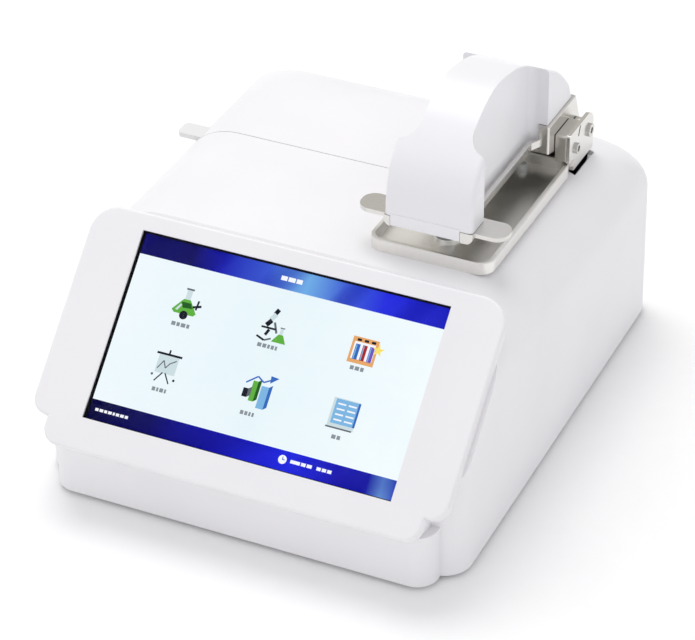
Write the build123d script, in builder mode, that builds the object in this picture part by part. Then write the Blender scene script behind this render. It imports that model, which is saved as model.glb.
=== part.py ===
"""Bench spectrophotometer with a 7 inch touch display, a hinged micro-volume arm and a cuvette bay."""
import os
from math import cos, radians, sin

from build123d import *

os.makedirs("parts", exist_ok=True)

# casing
half_width = 103.0
front_y = -105.3
rear_y = 127.0
floor_z = 2.0
wall = 2.8
front_corner = 13.0
rear_corner = 10.0
top_round = 31.0
round_steps = 6
plinth_half_width = 93.4
plinth_front_y = -117.0
plinth_rear_y = -90.0
plinth_height = 27.0
plinth_corner = 10.0

# deck: the top face, which falls slightly towards the rear
deck_tilt = 2.0
deck_y = 33.0
deck_z = 106.0

# display slope
slope_angle = 42.5
display_y = -83.3
display_z = 75.5
bezel_half_width = 101.0
bezel_top = 52.3
bezel_bottom = -59.4
bezel_step = -47.5
bezel_lobe_half_width = 91.8
bezel_thickness = 5.0
bezel_top_corner = 13.0
bezel_low_corner = 8.0
window_width = 150.4
window_height = 88.6
neck_inset = 2.6
neck_depth = 21.0
lcd_width = 165.0
lcd_height = 100.0

# arm and tray, in deck coordinates
arm_x = 53.7
tray_half_width = 29.4
tray_front = -61.1
tray_rear = 38.4
tray_height = 6.0
tray_floor = 0.9
tray_wall = 2.4
tray_corner = 7.0
bar_half_width = 21.2
knuckle_half_width = 22.2
cheek_inner = 17.0
rail_inner = 14.6
rail_outer = 16.3
rail_low = 18.1
rail_top = 21.7
spine_low = 14.0
spine_top = 16.0
tab_half_width = 35.4
tab_top = 19.3
tab_thickness = 2.0
cover_half_width = 21.0
waist_half_width = 12.2
pivot_y = 58.0
pivot_z = 11.5
pin_radius = 2.5
pin_play = 0.04
ear_thickness = 1.8
ear_top = 20.8
ear_front = 33.0
ear_step = 38.9
ear_round = 7.0
pedestal_y = -38.0
pedestal_radius = 3.4

# lid and cuvette bay
lid_edge_x = 14.0
lid_front_y = 38.4
lid_edge_z = 76.0
lid_gap = 0.45
lid_pin_y = 127.6
lid_pin_z = 76.2
lid_pin_radius = 1.0
lid_barrel = 2.0
barrel_width = 9.0
lid_tab_y = 12.0
lid_tab_width = 10.0
lid_tab_reach = 105.5
lid_tab_root = 88.0
lid_tab_z = -8.0
lid_tab_thickness = 2.4
well_size = 12.6
well_depth = 42.0
holder_x = -28.0
holder_y = 82.0

# rear connections
panel_x = 30.0
panel_z = 38.0
panel_width = 96.0
panel_height = 26.0

deck = Plane(
    origin=(0, deck_y, deck_z),
    x_dir=(1, 0, 0),
    z_dir=(0, sin(radians(deck_tilt)), cos(radians(deck_tilt))),
)
display = Plane(
    origin=(0, display_y, display_z),
    x_dir=(1, 0, 0),
    z_dir=(0, -sin(radians(slope_angle)), cos(radians(slope_angle))),
)


def deck_side(x):
    """Upright plane at x whose own axes run rearwards along the deck and up from it."""
    along = (0, cos(radians(deck_tilt)), -sin(radians(deck_tilt)))
    return Plane(origin=(x, deck_y, deck_z), x_dir=along, z_dir=(1, 0, 0))


def deck_place(x, y, z):
    """Plane parallel to the deck with its origin at a place given in deck coordinates."""
    return Plane(origin=deck.from_local_coords((x, y, z)), x_dir=deck.x_dir, z_dir=deck.z_dir)


def deck_front(y):
    """Upright plane across the arm at a deck depth, facing the front, centred on the arm."""
    facing = (0, -cos(radians(deck_tilt)), sin(radians(deck_tilt)))
    return Plane(origin=deck.from_local_coords((arm_x, y, 0)), x_dir=(1, 0, 0), z_dir=facing)


def deck_depth(y, z):
    """Deck coordinate, along the deck, of the upright plane y at height z above the deck."""
    return (y - deck_y - z * sin(radians(deck_tilt))) / cos(radians(deck_tilt))


def save(part, name):
    part.label = name
    export_step(part, f"parts/{name}.step")


def body_block(gap):
    """Solid block of the casing, a given gap inside its outer skin and open at its foot."""
    half = half_width - gap
    reach = top_round - gap
    with BuildPart() as block:
        with BuildSketch(Plane.XY.offset(floor_z)):
            with Locations((0, (front_y + rear_y) / 2)):
                Rectangle(2 * half, rear_y - front_y - 2 * gap)
            fillet(vertices().sort_by(Axis.Y)[:2], front_corner - gap)
            fillet(vertices().sort_by(Axis.Y)[-2:], rear_corner - gap)
        extrude(amount=deck_z)
        split(bisect_by=deck.offset(-top_round), keep=Keep.BOTTOM)
        sections = []
        for step in range(round_steps + 1):
            angle = radians(90 * step / round_steps)
            inset = reach * (1 - cos(angle))
            level = -top_round + reach * sin(angle)
            near = deck_depth(front_y + gap, level) + inset
            far = deck_depth(rear_y - gap, level) - inset
            with BuildSketch(deck.offset(level)) as ring:
                with Locations((0, (near + far) / 2)):
                    RectangleRounded(2 * (half - inset), far - near, rear_corner - gap + 0.6 * inset)
            sections.append(ring.sketch)
        loft(sections=sections)
        split(bisect_by=display.offset(-bezel_thickness - gap), keep=Keep.BOTTOM)
    return block.part


def bezel_outline(inset):
    """Stepped outline of the display bezel, drawn in the display plane."""
    half = bezel_half_width - inset
    lobe = bezel_lobe_half_width - inset
    top = bezel_top - inset
    step = bezel_step + inset
    bottom = bezel_bottom + inset
    with BuildSketch() as outline:
        with Locations((0, (top + step) / 2)):
            Rectangle(2 * half, top - step)
        fillet(outline.vertices().sort_by(Axis.Y)[-2:], bezel_top_corner - inset)
        fillet(outline.vertices().sort_by(Axis.Y)[:2], bezel_low_corner)
        with BuildSketch(mode=Mode.PRIVATE) as lobe_part:
            with Locations((0, bottom + 10)):
                Rectangle(2 * lobe, 20)
            fillet(lobe_part.vertices().sort_by(Axis.Y)[:2], bezel_low_corner)
        add(lobe_part.sketch)
    return outline.sketch


def lid_region(gap):
    """Block of space that the rear lid takes out of the casing, grown inwards by a gap."""
    with BuildPart() as region:
        with BuildSketch(Plane.XY.offset(lid_edge_z + gap)):
            with Locations((-half_width - 10, lid_front_y + gap)):
                Rectangle(
                    lid_edge_x - gap + half_width + 10,
                    100,
                    align=(Align.MIN, Align.MIN),
                )
        extrude(amount=60)
    return region.part


barrel_places = [-78.0, -6.0]


def lid_barrels(offset, radius, width):
    """Row of short hinge barrels on the lid's pin line, shifted along it by an offset."""
    with BuildPart() as barrels:
        for x in barrel_places:
            with BuildSketch(Plane.YZ.offset(x + offset - width / 2)):
                with Locations((lid_pin_y, lid_pin_z)):
                    Circle(radius)
            extrude(amount=width)
    return barrels.part


# casing shell
boss_places = [(x, y) for x in (-94.5, 94.5) for y in (-92.0, 10.0, 100.0)]
plate_thickness = 2.0
boss_height = 14.0
with BuildPart() as housing_shell:
    add(body_block(0))
    with BuildSketch(display.offset(-bezel_thickness)):
        add(bezel_outline(neck_inset))
    extrude(amount=-neck_depth)
    with BuildSketch(Plane.XY.offset(floor_z)):
        with Locations((0, (plinth_front_y + plinth_rear_y) / 2)):
            Rectangle(2 * plinth_half_width, plinth_rear_y - plinth_front_y)
        fillet(vertices().sort_by(Axis.Y)[:2], plinth_corner)
    extrude(amount=plinth_height)
    # hollow inside
    add(body_block(wall), mode=Mode.SUBTRACT)
    with BuildSketch(display.offset(-bezel_thickness - wall)):
        add(bezel_outline(neck_inset + wall))
    extrude(amount=wall - neck_depth, mode=Mode.SUBTRACT)
    with BuildSketch(Plane.XY.offset(floor_z)):
        with Locations((0, (plinth_front_y + wall + plinth_rear_y + 2) / 2)):
            Rectangle(2 * (plinth_half_width - wall), plinth_rear_y + 2 - plinth_front_y - wall)
        fillet(vertices().sort_by(Axis.Y)[:2], plinth_corner - wall)
    extrude(amount=plinth_height - wall, mode=Mode.SUBTRACT)
    # display window
    with BuildSketch(display.offset(-bezel_thickness + 1)):
        Rectangle(lcd_width + 1, lcd_height + 1)
    extrude(amount=-wall - 6, mode=Mode.SUBTRACT)
    # lid opening and its hinge
    add(lid_region(0), mode=Mode.SUBTRACT)
    for side in (-barrel_width, barrel_width):
        add(lid_barrels(side, lid_barrel, barrel_width))
    add(lid_barrels(0, lid_barrel + lid_gap, barrel_width + 2 * lid_gap), mode=Mode.SUBTRACT)
    add(lid_barrels(0, lid_pin_radius, 3 * barrel_width), mode=Mode.SUBTRACT)
    # slot in the deck beside the hinge and hole under the lower pedestal
    with BuildSketch(deck.offset(1)):
        with Locations((arm_x, 51.1)):
            Rectangle(2 * tray_half_width + 2.0, 24.2)
        with Locations((arm_x, pedestal_y)):
            Circle(pedestal_radius + 1.1)
    extrude(amount=-wall - 3, mode=Mode.SUBTRACT)
    # rear opening for the connector panel
    with BuildSketch(Plane.XZ.offset(-rear_y - 1)):
        with Locations((panel_x, panel_z)):
            Rectangle(panel_width, panel_height)
    extrude(amount=8, mode=Mode.SUBTRACT)
    # screw bosses under the floor edge
    with BuildSketch(Plane.XY.offset(floor_z + plate_thickness)):
        with Locations(*boss_places):
            Circle(6.5)
    extrude(amount=boss_height)
    with BuildSketch(Plane.XY.offset(floor_z + plate_thickness)):
        with Locations(*boss_places):
            Circle(1.5)
    extrude(amount=boss_height - 2, mode=Mode.SUBTRACT)
save(housing_shell.part, "housing_shell")

# display
glass_width = 154.6
glass_height = 92.6
glass_top = -1.0
gasket_top = -2.8
lcd_top = -3.2
with BuildPart() as display_bezel:
    with BuildSketch(display.offset(-bezel_thickness)):
        add(bezel_outline(0))
    extrude(amount=bezel_thickness)
    fillet(display_bezel.faces().sort_by(SortBy.AREA)[-1].edges(), 1.2)
    with BuildSketch(display):
        Rectangle(window_width, window_height)
    extrude(amount=-bezel_thickness, mode=Mode.SUBTRACT)
    with BuildSketch(display.offset(glass_top)):
        Rectangle(glass_width + 0.4, glass_height + 0.4)
    extrude(amount=-bezel_thickness, mode=Mode.SUBTRACT)
    with BuildSketch(display.offset(lcd_top)):
        Rectangle(lcd_width + 0.6, lcd_height + 0.6)
    extrude(amount=-bezel_thickness, mode=Mode.SUBTRACT)
save(display_bezel.part, "display_bezel")

with BuildPart() as touch_glass:
    with BuildSketch(display.offset(glass_top)):
        Rectangle(glass_width, glass_height)
    extrude(amount=gasket_top - glass_top)
save(touch_glass.part, "touch_glass")

with BuildPart() as display_gasket:
    with BuildSketch(display.offset(gasket_top)):
        Rectangle(glass_width, glass_height)
        Rectangle(window_width + 1, window_height + 1, mode=Mode.SUBTRACT)
    extrude(amount=lcd_top - gasket_top)
save(display_gasket.part, "display_gasket")

with BuildPart() as lcd_module:
    with BuildSketch(display.offset(lcd_top)):
        Rectangle(lcd_width, lcd_height)
    extrude(amount=-5.0)
    with BuildSketch(display.offset(lcd_top - 5.0)):
        Rectangle(lcd_width - 30, lcd_height - 30)
    extrude(amount=-4.0)
save(lcd_module.part, "lcd_module")

# floor
foot_radius = 9.0
foot_places = [(-82.0, -96.0), (82.0, -96.0), (-82.0, 108.0), (82.0, 108.0)]
board_x = 0.0
board_y = -48.0
board_width = 150.0
board_length = 84.0
board_level = 12.0
standoffs = [(x, y) for x in (-68.0, 68.0) for y in (board_y - 34.0, board_y + 34.0)]
screw_head = 3.0
screw_shank = 1.5
plate_gap = wall + 0.3
with BuildPart() as base_plate:
    with BuildSketch(Plane.XY.offset(floor_z)):
        with Locations((0, (front_y + rear_y) / 2)):
            RectangleRounded(2 * (half_width - plate_gap), rear_y - front_y - 2 * plate_gap, rear_corner)
        with Locations((0, (plinth_front_y + plate_gap + plinth_rear_y) / 2)):
            Rectangle(2 * (plinth_half_width - plate_gap), plinth_rear_y - plinth_front_y - plate_gap)
        fillet(vertices().group_by(Axis.Y)[0], plinth_corner - wall)
    extrude(amount=plate_thickness)
    with BuildSketch(Plane.XY.offset(floor_z + plate_thickness)):
        with Locations(*standoffs):
            Circle(3.5)
    extrude(amount=board_level - floor_z - plate_thickness)
    with BuildSketch(Plane.XY.offset(floor_z)):
        with Locations(*boss_places):
            Circle(screw_head + 0.1)
    extrude(amount=1.0, mode=Mode.SUBTRACT)
    with BuildSketch(Plane.XY.offset(floor_z)):
        with Locations(*boss_places):
            Circle(screw_shank + 0.2)
    extrude(amount=plate_thickness, mode=Mode.SUBTRACT)
save(base_plate.part, "base_plate")

with BuildPart() as base_screws:
    with BuildSketch(Plane.XY.offset(floor_z)):
        with Locations(*boss_places):
            Circle(screw_head)
    extrude(amount=1.0)
    with BuildSketch(Plane.XY.offset(floor_z + 1.0)):
        with Locations(*boss_places):
            Circle(screw_shank)
    extrude(amount=10.0)
save(base_screws.part, "base_screws")

with BuildPart() as rubber_feet:
    with BuildSketch(Plane.XY):
        with Locations(*foot_places):
            Circle(foot_radius)
    extrude(amount=floor_z)
    chamfer(rubber_feet.edges().group_by(Axis.Z)[0], 0.6)
save(rubber_feet.part, "rubber_feet")

with BuildPart() as main_board:
    with BuildSketch(Plane.XY.offset(board_level)):
        with Locations((board_x, board_y)):
            Rectangle(board_width, board_length)
    extrude(amount=1.6)
    with BuildSketch(Plane.XY.offset(board_level + 1.6)):
        with Locations((-30, board_y), (25, board_y + 12)):
            Rectangle(22, 22)
        with Locations((60, board_y - 20), (-62, board_y + 10)):
            Rectangle(10, 28)
    extrude(amount=4.0)
save(main_board.part, "main_board")


def box_module(x, y, width, length, height, corner=3.0):
    """Plain enclosure standing on the floor plate."""
    with BuildPart() as module:
        with BuildSketch(Plane.XY.offset(floor_z + plate_thickness)):
            with Locations((x, y)):
                RectangleRounded(width, length, corner)
        extrude(amount=height)
        chamfer(module.edges().group_by(Axis.Z)[-1], 1.0)
    return module.part


spectrometer_y = 66.0
spectrometer_length = 70.0
port_z = 26.0
beam_height = 15.0
save(box_module(arm_x, spectrometer_y, 68.0, spectrometer_length, 42.0), "spectrometer_module")
save(box_module(-4.0, 10.0, 46.0, 30.0, 40.0), "lamp_module")
save(box_module(-68.0, 62.0, 36.0, 92.0, 34.0), "power_supply")

# arm tray
tray_middle = (tray_front + tray_rear) / 2
tray_length = tray_rear - tray_front
with BuildPart() as arm_tray:
    with BuildSketch(deck):
        with Locations((arm_x, tray_middle)):
            RectangleRounded(2 * tray_half_width, tray_length, tray_corner)
    extrude(amount=tray_height)
    with BuildSketch(deck.offset(tray_floor)):
        with Locations((arm_x, tray_middle)):
            RectangleRounded(
                2 * (tray_half_width - tray_wall), tray_length - 2 * tray_wall, tray_corner - tray_wall
            )
    extrude(amount=tray_height, mode=Mode.SUBTRACT)
    rim = arm_tray.faces().filter_by(lambda f: abs(deck.to_local_coords(f.center()).Z - tray_height) < 0.01)
    chamfer(rim.edges(), 0.5)
    with BuildSketch(deck):
        with Locations((arm_x, pedestal_y)):
            Circle(pedestal_radius)
    extrude(amount=tray_height, mode=Mode.SUBTRACT)
save(arm_tray.part, "arm_tray")

bumper_places = [(arm_x - 8.0, 29.0), (arm_x + 8.0, 29.0)]
bumper_radius = 2.4
bumper_height = 3.4
with BuildPart() as tray_bumpers:
    with BuildSketch(deck.offset(tray_floor)):
        with Locations(*bumper_places):
            Circle(bumper_radius)
    extrude(amount=bumper_height)
    tops = tray_bumpers.edges().filter_by(
        lambda e: abs(deck.to_local_coords(e.center()).Z - tray_floor - bumper_height) < 0.01
    )
    fillet(tops, 1.2)
save(tray_bumpers.part, "tray_bumpers")

pedestal_top = 9.2
sample_gap = 0.8
with BuildPart() as lower_pedestal:
    with BuildSketch(deck.offset(-9)):
        with Locations((arm_x, pedestal_y)):
            Circle(pedestal_radius)
    extrude(amount=pedestal_top + 9)
    with BuildSketch(deck.offset(tray_floor)):
        with Locations((arm_x, pedestal_y)):
            Circle(pedestal_radius + 3)
    extrude(amount=1.4)
save(lower_pedestal.part, "lower_pedestal")

with BuildPart() as pedestal_seal:
    with BuildSketch(deck.offset(tray_floor + 1.4)):
        with Locations((arm_x, pedestal_y)):
            Circle(pedestal_radius + 1.8)
            Circle(pedestal_radius, mode=Mode.SUBTRACT)
    extrude(amount=1.2)
save(pedestal_seal.part, "pedestal_seal")

fibre_radius = 1.5
fibre_top = deck.from_local_coords((arm_x, pedestal_y, -9.2))
fibre_bend = 30.0
spectrometer_front = spectrometer_y - spectrometer_length / 2
with BuildPart() as sample_fibre:
    with BuildLine() as route:
        FilletPolyline(
            (arm_x, fibre_top.Y, fibre_top.Z - 1),
            (arm_x, fibre_top.Y, port_z),
            (arm_x, spectrometer_front, port_z),
            radius=fibre_bend,
        )
    with BuildSketch(Plane(origin=route.line @ 0, z_dir=route.line % 0)):
        Circle(fibre_radius)
    sweep()
save(sample_fibre.part, "sample_fibre")

# arm hinge
block_front = 32.6
block_rear = 50.6
block_low = 6.6
block_top = 20.4
side_screw = (41.8, 10.4)
slot_radius = 14.5
slot_width = 1.2
bush_radius = 5.0
ear_inner = tray_half_width - ear_thickness
side_play = 0.3
bracket_rear = 63.0
bracket_floor = 3.5
head_socket = 1.5
slot_path = CenterArc((pivot_y, pivot_z), slot_radius, 146, 16)


def both_sides(profile, near, far):
    """A side profile given thickness on each side of the arm, from near to far off its centre."""
    with BuildPart() as pair:
        for sign in (-1, 1):
            with BuildSketch(deck_side(arm_x + sign * near)):
                add(profile)
            extrude(amount=sign * (far - near))
    return pair.part


def disc(place, radius, bore=0.0):
    """Round profile, with an optional bore, at a place in the side plane."""
    with BuildSketch() as round_profile:
        with Locations(place):
            Circle(radius)
            if bore:
                Circle(bore, mode=Mode.SUBTRACT)
    return round_profile.sketch


with BuildSketch() as ear_profile:
    with BuildLine():
        Polyline(
            (bracket_rear, ear_top),
            (ear_front, ear_top),
            (ear_front, tray_height + 0.6),
            (ear_step, tray_height + 0.6),
            (ear_step, 0),
            (bracket_rear, 0),
            close=True,
        )
    make_face()
    fillet(ear_profile.vertices().sort_by_distance((bracket_rear, ear_top))[0], ear_round)
    fillet(ear_profile.vertices().sort_by_distance((ear_front, ear_top))[0], 1.0)
    with Locations((pivot_y, pivot_z)):
        Circle(pin_radius, mode=Mode.SUBTRACT)
    with Locations(side_screw):
        Circle(screw_shank, mode=Mode.SUBTRACT)
    SlotArc(slot_path, slot_width, mode=Mode.SUBTRACT)

with BuildPart() as hinge_bracket:
    add(both_sides(ear_profile.sketch, ear_inner, tray_half_width))
    with BuildSketch(deck):
        with Locations((arm_x, (ear_step + bracket_rear) / 2)):
            Rectangle(2 * tray_half_width, bracket_rear - ear_step)
    extrude(amount=bracket_floor)
save(hinge_bracket.part, "hinge_bracket")

with BuildSketch() as block_profile:
    with Locations(((block_front + block_rear) / 2, (block_low + block_top) / 2)):
        Rectangle(block_rear - block_front, block_top - block_low)
    fillet(block_profile.vertices(), 1.0)
    with Locations(side_screw):
        Circle(screw_shank, mode=Mode.SUBTRACT)
    with Locations((pivot_y, pivot_z)):
        Circle(bush_radius + 0.1, mode=Mode.SUBTRACT)
save(both_sides(block_profile.sketch, knuckle_half_width + side_play, ear_inner), "hinge_dampers")

pivot = (pivot_y, pivot_z)
bushes = both_sides(disc(pivot, bush_radius, pin_radius), knuckle_half_width + side_play, ear_inner)
save(bushes, "hinge_bushes")

with BuildPart() as hinge_screws:
    add(both_sides(disc(side_screw, 2.6, head_socket), tray_half_width, tray_half_width + 1.2))
    add(both_sides(disc(side_screw, screw_shank), knuckle_half_width + 1.0, tray_half_width))
save(hinge_screws.part, "hinge_screws")

with BuildPart() as hinge_pin:
    with BuildSketch(deck_side(arm_x - tray_half_width)):
        with Locations(pivot):
            Circle(pin_radius)
    extrude(amount=2 * tray_half_width)
    add(both_sides(disc(pivot, 3.2, head_socket), tray_half_width, tray_half_width + 1.2))
save(hinge_pin.part, "hinge_pin")

# arm frame
bar_front = -60.6
bar_rear = -45.0
bar_round = 3.5
tab_front = -58.9
tab_rear = -45.2
jog_start = 19.0
jog_end = 24.0
knuckle_front = 25.0
knuckle_top = 28.3
knuckle_rear = 57.6
knuckle_round = 6.5
cheek_round = 1.0
pocket_rear = 48.0
spine_half_width = 11.0
rail_notch = 3.2
lip_left = -17.9
lip_right = 15.1
lip_thickness = 1.6
cover_screw_places = [(arm_x, -22.0), (arm_x, 8.0)]

with BuildSketch() as rail_plan:
    with BuildLine():
        Polyline(
            (rail_inner, bar_rear - 2),
            (rail_outer, bar_rear - 2),
            (rail_outer, jog_start),
            (rail_outer + cheek_inner - rail_inner, jog_end),
            (rail_outer + cheek_inner - rail_inner, knuckle_front + 1),
            (cheek_inner, knuckle_front + 1),
            (cheek_inner, jog_end),
            (rail_inner, jog_start),
            close=True,
        )
    make_face()
    fillet(rail_plan.vertices().filter_by(lambda v: jog_start - 1 < v.Y < jog_end + 1), 3.0)
    mirror(about=Plane.YZ)

with BuildSketch() as knuckle_profile:
    with BuildLine():
        Polyline(
            (pivot_y, pivot_z - knuckle_round),
            (pivot_y - 9, pivot_z - knuckle_round + 3),
            (knuckle_front, spine_low),
            (knuckle_front, knuckle_top),
            (knuckle_rear, knuckle_top),
            (pivot_y + knuckle_round, pivot_z),
        )
        CenterArc(pivot, knuckle_round, 0, -90)
    make_face()

with BuildPart() as arm_frame:
    with BuildSketch(deck_side(arm_x - knuckle_half_width)):
        add(knuckle_profile.sketch)
    extrude(amount=2 * knuckle_half_width)
    cheek_edges = arm_frame.edges().filter_by(
        lambda e: abs(abs(e.center().X - arm_x) - knuckle_half_width) < 0.01
        and deck.to_local_coords(e.center()).Z > spine_low
        and deck.to_local_coords(e.center()).Y < knuckle_rear - 1
    )
    fillet(cheek_edges, cheek_round)
    # pocket between the cheeks, which takes the foot of the cover
    with BuildSketch(deck_place(arm_x, 0, spine_top)):
        with Locations((0, (knuckle_front + pocket_rear) / 2)):
            Rectangle(2 * cheek_inner, pocket_rear - knuckle_front)
    extrude(amount=knuckle_top, mode=Mode.SUBTRACT)
    # two side rails and the spine between the bar and the knuckle
    with BuildSketch(deck_place(arm_x, 0, rail_low)):
        add(rail_plan.sketch)
    extrude(amount=rail_top - rail_low)
    with BuildSketch(deck_place(arm_x, 0, tab_top)):
        with Locations((0, bar_rear - 1)):
            Rectangle(2 * rail_outer + 2, rail_notch)
    extrude(amount=rail_top, mode=Mode.SUBTRACT)
    with BuildSketch(deck_place(arm_x, 0, spine_low)):
        with Locations((0, (bar_rear + knuckle_front) / 2)):
            Rectangle(2 * spine_half_width, knuckle_front + 2 - bar_rear)
    extrude(amount=spine_top - spine_low)
    # front bar, with a rebate for the cover's lip, and the grip tabs
    with BuildSketch(deck_front(bar_front)) as bar:
        with Locations((0, (spine_low + tab_top) / 2)):
            Rectangle(2 * bar_half_width, tab_top - spine_low)
        fillet(bar.vertices().group_by(Axis.Y)[0], bar_round)
    extrude(amount=bar_front - bar_rear)
    with BuildSketch(deck_place(arm_x, 0, tab_top)):
        with Locations((0, (tab_front + tab_rear) / 2)):
            RectangleRounded(2 * tab_half_width, tab_rear - tab_front, 6.0)
    extrude(amount=-tab_thickness)
    with BuildSketch(deck_place(arm_x, 0, tab_top)):
        with Locations(((lip_left + lip_right) / 2, bar_front)):
            Rectangle(lip_right - lip_left + 0.4, 2 * lip_thickness + 0.2)
    extrude(amount=spine_low - tab_top - 1, mode=Mode.SUBTRACT)
    # pin bore, pedestal hole and cover screw holes
    with BuildSketch(deck_side(arm_x - knuckle_half_width)):
        with Locations(pivot):
            Circle(pin_radius + pin_play)
    extrude(amount=2 * knuckle_half_width, mode=Mode.SUBTRACT)
    with BuildSketch(deck.offset(spine_low)):
        with Locations((arm_x, pedestal_y)):
            Circle(pedestal_radius)
        with Locations(*cover_screw_places):
            Circle(screw_shank)
    extrude(amount=spine_top - spine_low, mode=Mode.SUBTRACT)
save(arm_frame.part, "arm_frame")

with BuildPart() as arm_screws:
    with BuildSketch(deck.offset(spine_low)):
        with Locations(*cover_screw_places):
            Circle(screw_head)
    extrude(amount=-1.5)
    with BuildSketch(deck.offset(spine_low)):
        with Locations(*cover_screw_places):
            Circle(screw_shank)
    extrude(amount=10.0)
save(arm_screws.part, "arm_screws")

upper_tip = pedestal_top + sample_gap
with BuildPart() as upper_pedestal:
    with BuildSketch(deck.offset(upper_tip)):
        with Locations((arm_x, pedestal_y)):
            Circle(pedestal_radius)
    extrude(amount=spine_top - upper_tip)
    with BuildSketch(deck.offset(spine_low)):
        with Locations((arm_x, pedestal_y)):
            Circle(pedestal_radius + 3.6)
    extrude(amount=-2.0)
save(upper_pedestal.part, "upper_pedestal")

# arm cover
cover_skin = 2.4
cover_front_foot = 19.5
cover_rear_foot = 28.5
cover_gap = 0.3
scoop_front = -47.7
scoop_rear = 26.0
scoop_front_round = 9.0
scoop_rear_round = 4.4
cover_lip_low = 14.7
waist_front = bar_rear + cover_gap
waist_low = spine_top + cover_gap
heel_half_width = cheek_inner - cover_gap
heel_rear = 34.0
post_height = 46.8
cover_outline = [
    (-60.4, cover_front_foot),
    (-60.0, 27.0),
    (-58.3, 36.0),
    (-54.6, 44.2),
    (-48.6, 50.6),
    (-40.5, 57.1),
    (-32.5, 62.3),
    (-18.0, 67.5),
    (-12.0, 68.0),
    (0.0, 66.5),
    (15.0, 62.5),
    (28.0, 56.0),
    (41.5, 47.8),
    (52.0, 37.7),
    (56.5, cover_rear_foot),
]

with BuildSketch() as cover_profile:
    with BuildLine():
        Spline(*cover_outline, tangents=((0.0, 1.0), (0.4, -1.0)))
        Polyline(
            cover_outline[-1],
            (scoop_rear, cover_rear_foot),
            (scoop_rear, cover_front_foot),
            cover_outline[0],
        )
    make_face()

with BuildSketch() as cover_hollow_profile:
    with BuildLine():
        Polyline((-42.2, waist_low), (-42.2, 50.5), (-36.0, 56.5))
        Spline((-36.0, 56.5), (-12.0, 65.0), (15.0, 59.6), (41.0, 45.0), (50.0, 36.0))
        Polyline(
            (50.0, 36.0),
            (53.0, cover_rear_foot),
            (heel_rear - cover_skin, cover_rear_foot),
            (heel_rear - cover_skin, waist_low),
            (-42.2, waist_low),
        )
    make_face()

# plan of the waist between the finger scoops and of the heel that stands between the cheeks
with BuildSketch() as waist_plan:
    with BuildLine():
        Polyline(
            (0, waist_front),
            (waist_half_width, waist_front),
            (waist_half_width, scoop_rear),
            (heel_half_width, scoop_rear),
            (heel_half_width, heel_rear),
            (0, heel_rear),
            close=True,
        )
    make_face()
    inner_corner = waist_plan.vertices().sort_by_distance((waist_half_width, scoop_rear))[0]
    fillet(inner_corner, scoop_rear_round - 0.1)
    mirror(about=Plane.YZ)

# plan of one finger scoop, to the right of the waist
with BuildSketch() as scoop_plan:
    with Locations((waist_half_width, (scoop_front + scoop_rear) / 2)):
        Rectangle(30, scoop_rear - scoop_front, align=(Align.MIN, Align.CENTER))
    fillet(scoop_plan.vertices().sort_by_distance((waist_half_width, scoop_front))[0], scoop_front_round)
    fillet(scoop_plan.vertices().sort_by_distance((waist_half_width, scoop_rear))[0], scoop_rear_round)

with BuildPart() as arm_cover:
    with BuildSketch(deck_side(arm_x - cover_half_width)):
        add(cover_profile.sketch)
    extrude(amount=2 * cover_half_width)
    outer_edges = arm_cover.edges().filter_by(
        lambda e: abs(abs(e.center().X - arm_x) - cover_half_width) < 0.01
        and deck.to_local_coords(e.center()).Z > cover_rear_foot + 5
    )
    fillet(outer_edges, 2.0)
    with BuildSketch(deck_place(arm_x, 0, 0)):
        add(scoop_plan.sketch)
        mirror(scoop_plan.sketch, about=Plane.YZ)
    extrude(amount=80, mode=Mode.SUBTRACT)
    with BuildSketch(deck_place(arm_x, 0, waist_low)):
        add(waist_plan.sketch)
    extrude(amount=cover_rear_foot + 1 - waist_low)
    # hollow inside, open below, with two screw posts
    with BuildSketch(deck_side(arm_x - waist_half_width + cover_skin)):
        add(cover_hollow_profile.sketch)
    extrude(amount=2 * (waist_half_width - cover_skin), mode=Mode.SUBTRACT)
    with BuildSketch(deck.offset(waist_low)):
        with Locations(*cover_screw_places):
            Circle(4.0)
    extrude(amount=post_height)
    with BuildSketch(deck.offset(waist_low)):
        with Locations(*cover_screw_places):
            Circle(screw_shank)
    extrude(amount=14, mode=Mode.SUBTRACT)
    # lip that hangs in the rebate of the front bar
    with BuildSketch(deck_place(arm_x, 0, cover_front_foot + 1)):
        with Locations(((lip_left + lip_right) / 2, bar_front + lip_thickness / 2 - 0.1)):
            Rectangle(lip_right - lip_left, lip_thickness)
    extrude(amount=cover_lip_low - cover_front_foot - 1)
save(arm_cover.part, "arm_cover")

# rear lid
with BuildPart() as lid_panel:
    add(body_block(0))
    add(body_block(wall), mode=Mode.SUBTRACT)
    add(lid_region(lid_gap), mode=Mode.INTERSECT)
    add(lid_barrels(0, lid_barrel, barrel_width))
    for side in (-barrel_width, barrel_width):
        add(lid_barrels(side, lid_barrel + lid_gap, barrel_width), mode=Mode.SUBTRACT)
    add(lid_barrels(0, lid_pin_radius + pin_play, barrel_width + 1), mode=Mode.SUBTRACT)
    with BuildSketch(deck_place(0, 0, lid_tab_z + 0.2)):
        with Locations((-(lid_tab_reach + lid_tab_root) / 2, lid_tab_y)):
            Rectangle(lid_tab_reach - lid_tab_root + 2, lid_tab_width + 0.4)
    extrude(amount=-lid_tab_thickness - 0.4, mode=Mode.SUBTRACT)
save(lid_panel.part, "lid_panel")

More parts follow.
